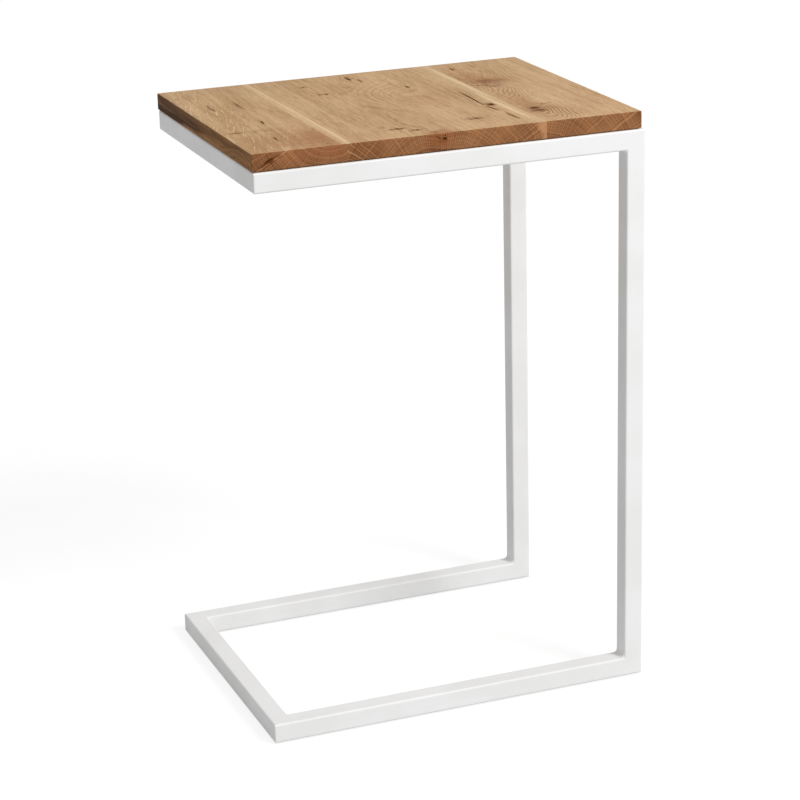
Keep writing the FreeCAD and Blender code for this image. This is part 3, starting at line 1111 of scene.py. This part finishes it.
def top_colour(recipe, grain):
    stave = recipe.stave
    depth = recipe.weigh(grain._asdict(), top_weights, stave.tone + top_start)
    colour = recipe.blend(depth, top_pale, top_deep)
    colour = recipe.dab(colour, top_blush, grain.place, stave.blushes, rag=grain.rag)
    for curl in stave.curls:
        wavy = curly_wood(recipe, grain, curl)
        colour = recipe.dab(colour, wavy, grain.place, [curl], rag=grain.rag)
    if stave.sap_radius:
        colour = recipe.blend(sapwood(recipe, grain) * top_sap_share, colour, top_sap)
    colour = recipe.dab(colour, top_gleam, grain.place, stave.gleams, flat=gleam_flat)
    return recipe.blend(grain.flecks * stave.fleck, colour, top_ray)


print("the top's depth is weighed from", len(top_weights), "measures of the wood")

# %% [markdown]
# ## The colours of the ends and sides
# The end of the plank is cut across the pores, which drink the oil, so it is far darker and
# redder than the top, with pale spokes of ray. The sides are coloured darker than the top as
# painted shade, and darker still towards the back as more painted shade; on the left side dark
# heartwood runs over paler wood along a waving border. One colour is mixed for each kind of
# face and chosen by the way that the face looks, so every side face carries this painted shade.

# %% Colours of the ends
stain_brown = paint(92, 50, 16)
end_pale = paint(160, 110, 72)
end_deep = paint(96, 57, 33)
end_ray = paint(200, 149, 106)
end_blush = paint(150, 84, 50)
end_weights = dict(dense=0.26, ring_shade=0.40, patches=1.3, specks=0.8)
end_start = -0.92
end_sap_share, early_strength, ray_strength = 0.70, 0.18, 0.60
speck_layer = Layer((0.6, 30.0, 0.6), 9, 1.0)
check_lip_mm = 0.7
check_band_mm = 4.0
check_half_mm = 17.0
check_dark_share, check_ray_share = 0.92, 0.85


def end_check(recipe, colour):
    """A bold ray across the end, with a dark band on its upper side."""
    run = Vector(recipe.stave.check.run).normalized()
    x, _, z = recipe.parts(recipe.spot)
    aside, above = x - recipe.stave.check.place[0], z - recipe.stave.check.place[1]
    along = aside * run.x + above * run.y
    across = aside * -run.y + above * run.x
    band = recipe.near(across, check_lip_mm, check_band_mm) * recipe.ease(across, 0.0, check_lip_mm)
    inside = recipe.near(along, 0.0, check_half_mm)
    colour = recipe.blend(band * inside * check_dark_share, colour, stain_brown)
    return recipe.blend(recipe.near(across, 0.0, check_lip_mm) * check_ray_share, colour, end_ray)


def end_colour(recipe, grain):
    stave = recipe.stave
    measures = dict(grain._asdict(), specks=recipe.layer(speck_layer, grain.place))
    colour = recipe.blend(recipe.weigh(measures, end_weights, end_start), end_pale, end_deep)
    if stave.sap_radius:
        colour = recipe.blend(sapwood(recipe, grain) * end_sap_share, colour, end_ray)
    colour = recipe.dab(colour, end_blush, grain.place, stave.blushes, rag=grain.rag)
    colour = recipe.blend(grain.early * early_strength, colour, end_ray)
    colour = recipe.blend(grain.spokes * ray_strength, colour, end_ray)
    return end_check(recipe, colour) if stave.check else colour


print("staves with a bold ray on the end:", sum(bool(stave.check) for stave in staves))

# %% Colours of the sides, darkened as painted shade
# Both side colours are darker than the oak's own colour: painted shade on the side faces.
shaded_side_pale = paint(170, 127, 86)
shaded_side_deep = paint(72, 45, 24)
side_weights = dict(heart=0.20, heart_and_shade_at_back=0.30, rim_and_shade_at_back=0.58, dense=0.20, line=0.45,
                    streaks=0.6, flame=0.5)
side_start = -0.40
flame_layer, flame_waver_mm = Layer((30.0, 70.0, 7.0), 10, 3.0), 12.0
border_run_mm = (-130.0, 110.0)
dark_run_mm = (-60.0, 120.0)
border_fade_mm = 1.2
border_rim_mm = 9.0


def shaded_side_colour(recipe, grain):
    """Dark heartwood over a waving border that climbs towards the front, in colours darkened as
    painted shade. At the back it is darkest just above the border, where a painted shade
    deepens towards the back."""
    _, y, z = recipe.parts(grain.place)
    flame = recipe.layer(flame_layer, grain.place)
    # Painted shade: the side grows darker towards the back.
    shade_to_back = recipe.ease(y, *dark_run_mm)
    border = recipe.ease(y, *border_run_mm, TOP, UNDERSIDE)
    over = z - border + flame * flame_waver_mm - flame_waver_mm / 2
    heart = recipe.ease(over, -border_fade_mm, border_fade_mm)
    rim = recipe.near(over, border_fade_mm, border_rim_mm)
    # At the back the heartwood and its rim also carry this painted shade.
    measures = dict(grain._asdict(), flame=flame, heart=heart,
                    heart_and_shade_at_back=heart * shade_to_back, rim_and_shade_at_back=rim * shade_to_back)
    return recipe.blend(recipe.weigh(measures, side_weights, side_start), shaded_side_pale, shaded_side_deep)


border_front, border_back = border_run_mm
print("the heartwood's border runs over", border_back - border_front, "mm of the side")

# %% Mix the oak
oak_roughness = (0.56, 0.72)
oak_range = (0.3, 1.0)
oak_gloss = 0.02
side_turn, end_turn = (0.25, 0.70), (0.10, 0.45)
pore_stain = 0.40
pore_depth_mm = 0.12
fibre_height = 0.3


def oak(stave):
    recipe = OakRecipe(stave)
    grain = grain_of(recipe)
    facing_x, facing_y, _ = recipe.parts(recipe.node("ShaderNodeTexCoord").outputs["Normal"])
    to_side = recipe.ease(abs(facing_x), *side_turn)
    to_end = recipe.ease(abs(facing_y), *end_turn)
    # Faces that look sideways take the side colours, which hold painted shade.
    colour = recipe.blend(to_side, top_colour(recipe, grain), shaded_side_colour(recipe, grain))
    colour = recipe.blend(to_end, colour, end_colour(recipe, grain))
    colour = recipe.blend(grain.pores * pore_stain, colour, stain_brown)
    stains = [mark for mark in stave.marks if mark.strength]
    colour = recipe.dab(colour, stain_brown, grain.place, stains, rag=grain.rag)
    roughness = recipe.ease(grain.fibres + grain.pores, *oak_range, *oak_roughness)
    normal = recipe.bump(grain.fibres * fibre_height - grain.pores, pore_depth_mm)
    return recipe.finish(colour, roughness, normal, Specular_IOR_Level=oak_gloss)


oak_of = {stave.side: oak(stave) for stave in staves}

# %% [markdown]
# ## Cutting splits and pits
# Knots in rustic oak open into splits and small pits. Those are real hollows that catch shadow,
# so they are cut out of the block with a boolean instead of being painted on. A split is cut by a
# leaf-shaped wedge, a little crooked, and a pit by a ragged cup. The holes for the screws are
# bored from below in the same cut.

# %% Cutters for splits
split_steps = 16
split_waver_share = 0.16
split_swell = (0.88, 1.06)
cutter_rim_mm = 0.3


def face_axes(place, along):
    """Axes at a place on the top or the front end: along, across and straight out of the wood."""
    outward = up if place[2] == TOP else -back
    along = Vector(along).normalized()
    turn = Matrix((along, outward.cross(along), outward)).transposed().to_4x4()
    return Matrix.Translation(Vector(place) * MM) @ turn


def add_ring(shape, axes, points):
    """New corners at points that are given in millimetres along the axes."""
    return [shape.verts.new(axes @ (Vector(point) * MM)) for point in points]


def add_split(shape, split):
    """A leaf-shaped wedge for the boolean to cut with, with its rim above the face."""
    axes = face_axes(split.place, split.along)
    rings = []
    for step in range(1, split_steps):
        share = step / split_steps
        swell = math.sqrt(math.sin(math.pi * share)) * random.uniform(*split_swell)
        along = (share - 0.5) * split.length
        aside = random.uniform(-1, 1) * split_waver_share * split.width
        half = split.width / 2 * swell * (split.depth + cutter_rim_mm) / split.depth
        rings.append(add_ring(shape, axes, [(along, aside - half, cutter_rim_mm),
                                            (along, aside + half, cutter_rim_mm),
                                            (along, aside, -split.depth * swell)]))
    tips = [add_ring(shape, axes, [(end * split.length / 2, 0, cutter_rim_mm)]) for end in (-1, 1)]
    skin(shape, [tips[0], *rings, tips[1]])


print("splits to cut:", sum(len(stave.splits) for stave in staves))

# %% Cutters for pits and screw holes
pit_corners = 11
# Each level is how far out and how far down it lies, as shares of the pit's radius. None is the
# rim, which stands just above the face.
pit_levels = ((1.15, None), (0.85, 0.35), (0.45, 1.0))
pit_reach = (0.65, 1.15)
pit_stretch = (1.2, 1.8)
hole_radius_mm = 2.35
hole_spare_mm = 0.5
hole_corners = 24


def add_pit(shape, pit):
    """A small ragged cup for the boolean to cut with, narrowing as it goes down."""
    axes = face_axes(pit.place, back if pit.place[2] == TOP else right)
    reach = [random.uniform(*pit_reach) * pit.radius for corner in range(pit_corners)]
    stretch = random.uniform(*pit_stretch)
    turns = [2 * math.pi * corner / pit_corners for corner in range(pit_corners)]
    rings = []
    for share, down in pit_levels:
        height = cutter_rim_mm if down is None else -down * pit.radius
        rings.append(add_ring(shape, axes, [
            (math.cos(turn) * out * share * stretch, math.sin(turn) * out * share, height)
            for turn, out in zip(turns, reach)]))
    skin(shape, rings, capped=True)


def add_screw_hole(shape, foot, underside):
    """The blind hole that a screw fills, started a little below the wood."""
    start = Vector((foot.x, foot.y, underside))
    depth = (screws_high.z - underside) * MM_PER_M + hole_spare_mm
    levels = [(0.0, -cutter_rim_mm), (hole_radius_mm, -cutter_rim_mm),
              (hole_radius_mm, depth), (0.0, depth)]
    add_turned(shape, start, levels, hole_corners)


print("pits to cut:", sum(len(stave.pits) for stave in staves), "and screw holes:", len(screw_feet))

# %% [markdown]
# ## The walls of the splits
# Inside a split the wood is old and dark, crumbled in short bits along the grain. A boolean can
# hand the cutter's material to the walls that it leaves, so the cutters wear this wood and no
# wall has to be picked by hand.

# %% Darken the walls of the splits
split_dark = paint(84, 46, 16)
split_brown = paint(132, 82, 40)
crumb_size_mm = (0.8, 3.0, 0.8)
crumb_depth_mm = 0.3
crumb_colours, crumb_range = (0.35, 0.7), (0.3, 0.7)
crumb_roughness = (0.7, 0.9)


def split_wood():
    recipe = Recipe("split_wood")
    crumbs = recipe.noise(recipe.place(), crumb_size_mm, detail=3.0)
    colour = recipe.blend(recipe.ease(crumbs, *crumb_colours), split_dark, split_brown)
    roughness = recipe.ease(crumbs, *crumb_range, *crumb_roughness)
    normal = recipe.bump(crumbs, crumb_depth_mm)
    return recipe.finish(colour, roughness, normal, Specular_IOR_Level=oak_gloss)


split_wall = split_wood()

# %% [markdown]
# ## Shaping the staves
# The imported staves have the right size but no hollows, so each is made again. It is a block with
# its outer edges eased by hand, but square where it is glued to its neighbour, so that no groove
# shows between them. A bevel rounds only the edges that are not glued, and then the cutters go
# in.

# %% Cut and shape the three staves
edge_ease = 1.2 * MM
ease_steps = 4
round_profile = 0.5
same_plane = 0.05 * MM
split_seed = 7


def stave_block(low, high):
    """A block with eased edges, left square on the faces that are glued to a neighbour."""
    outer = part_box("top_stave_left")[0].x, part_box("top_stave_right")[1].x
    glued = [x for x in (low.x, high.x) if min(abs(x - edge) for edge in outer) > same_plane]
    shape = bmesh.new()
    bmesh.ops.create_cube(shape, size=1.0)
    middle, extent = (low + high) / 2, high - low
    for vertex in shape.verts:
        vertex.co = middle + vertex.co * extent
    eased = [edge for edge in shape.edges
             if not any(all(abs(end.co.x - x) < same_plane for end in edge.verts) for x in glued)]
    bmesh.ops.bevel(shape, geom=eased, offset=edge_ease, segments=ease_steps,
                    profile=round_profile, affect="EDGES")
    return shape


def build_stave(stave):
    node = f"top_stave_{stave.side}"
    low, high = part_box(node)
    block = to_mesh("block", stave_block(low, high), oak_of[stave.side])
    cutter = bmesh.new()
    for split in stave.splits:
        add_split(cutter, split)
    for pit in stave.pits:
        add_pit(cutter, pit)
    for foot in screw_feet:
        if low.x < foot.x < high.x:
            add_screw_hole(cutter, foot, low.z)
    mesh = cut_away(block, to_mesh("cutter", cutter, split_wall))
    mesh.name = node
    add_piece(f"oak_{stave.side}_stave", mesh, "oak", node)


random.seed(split_seed)
for stave in staves:
    build_stave(stave)
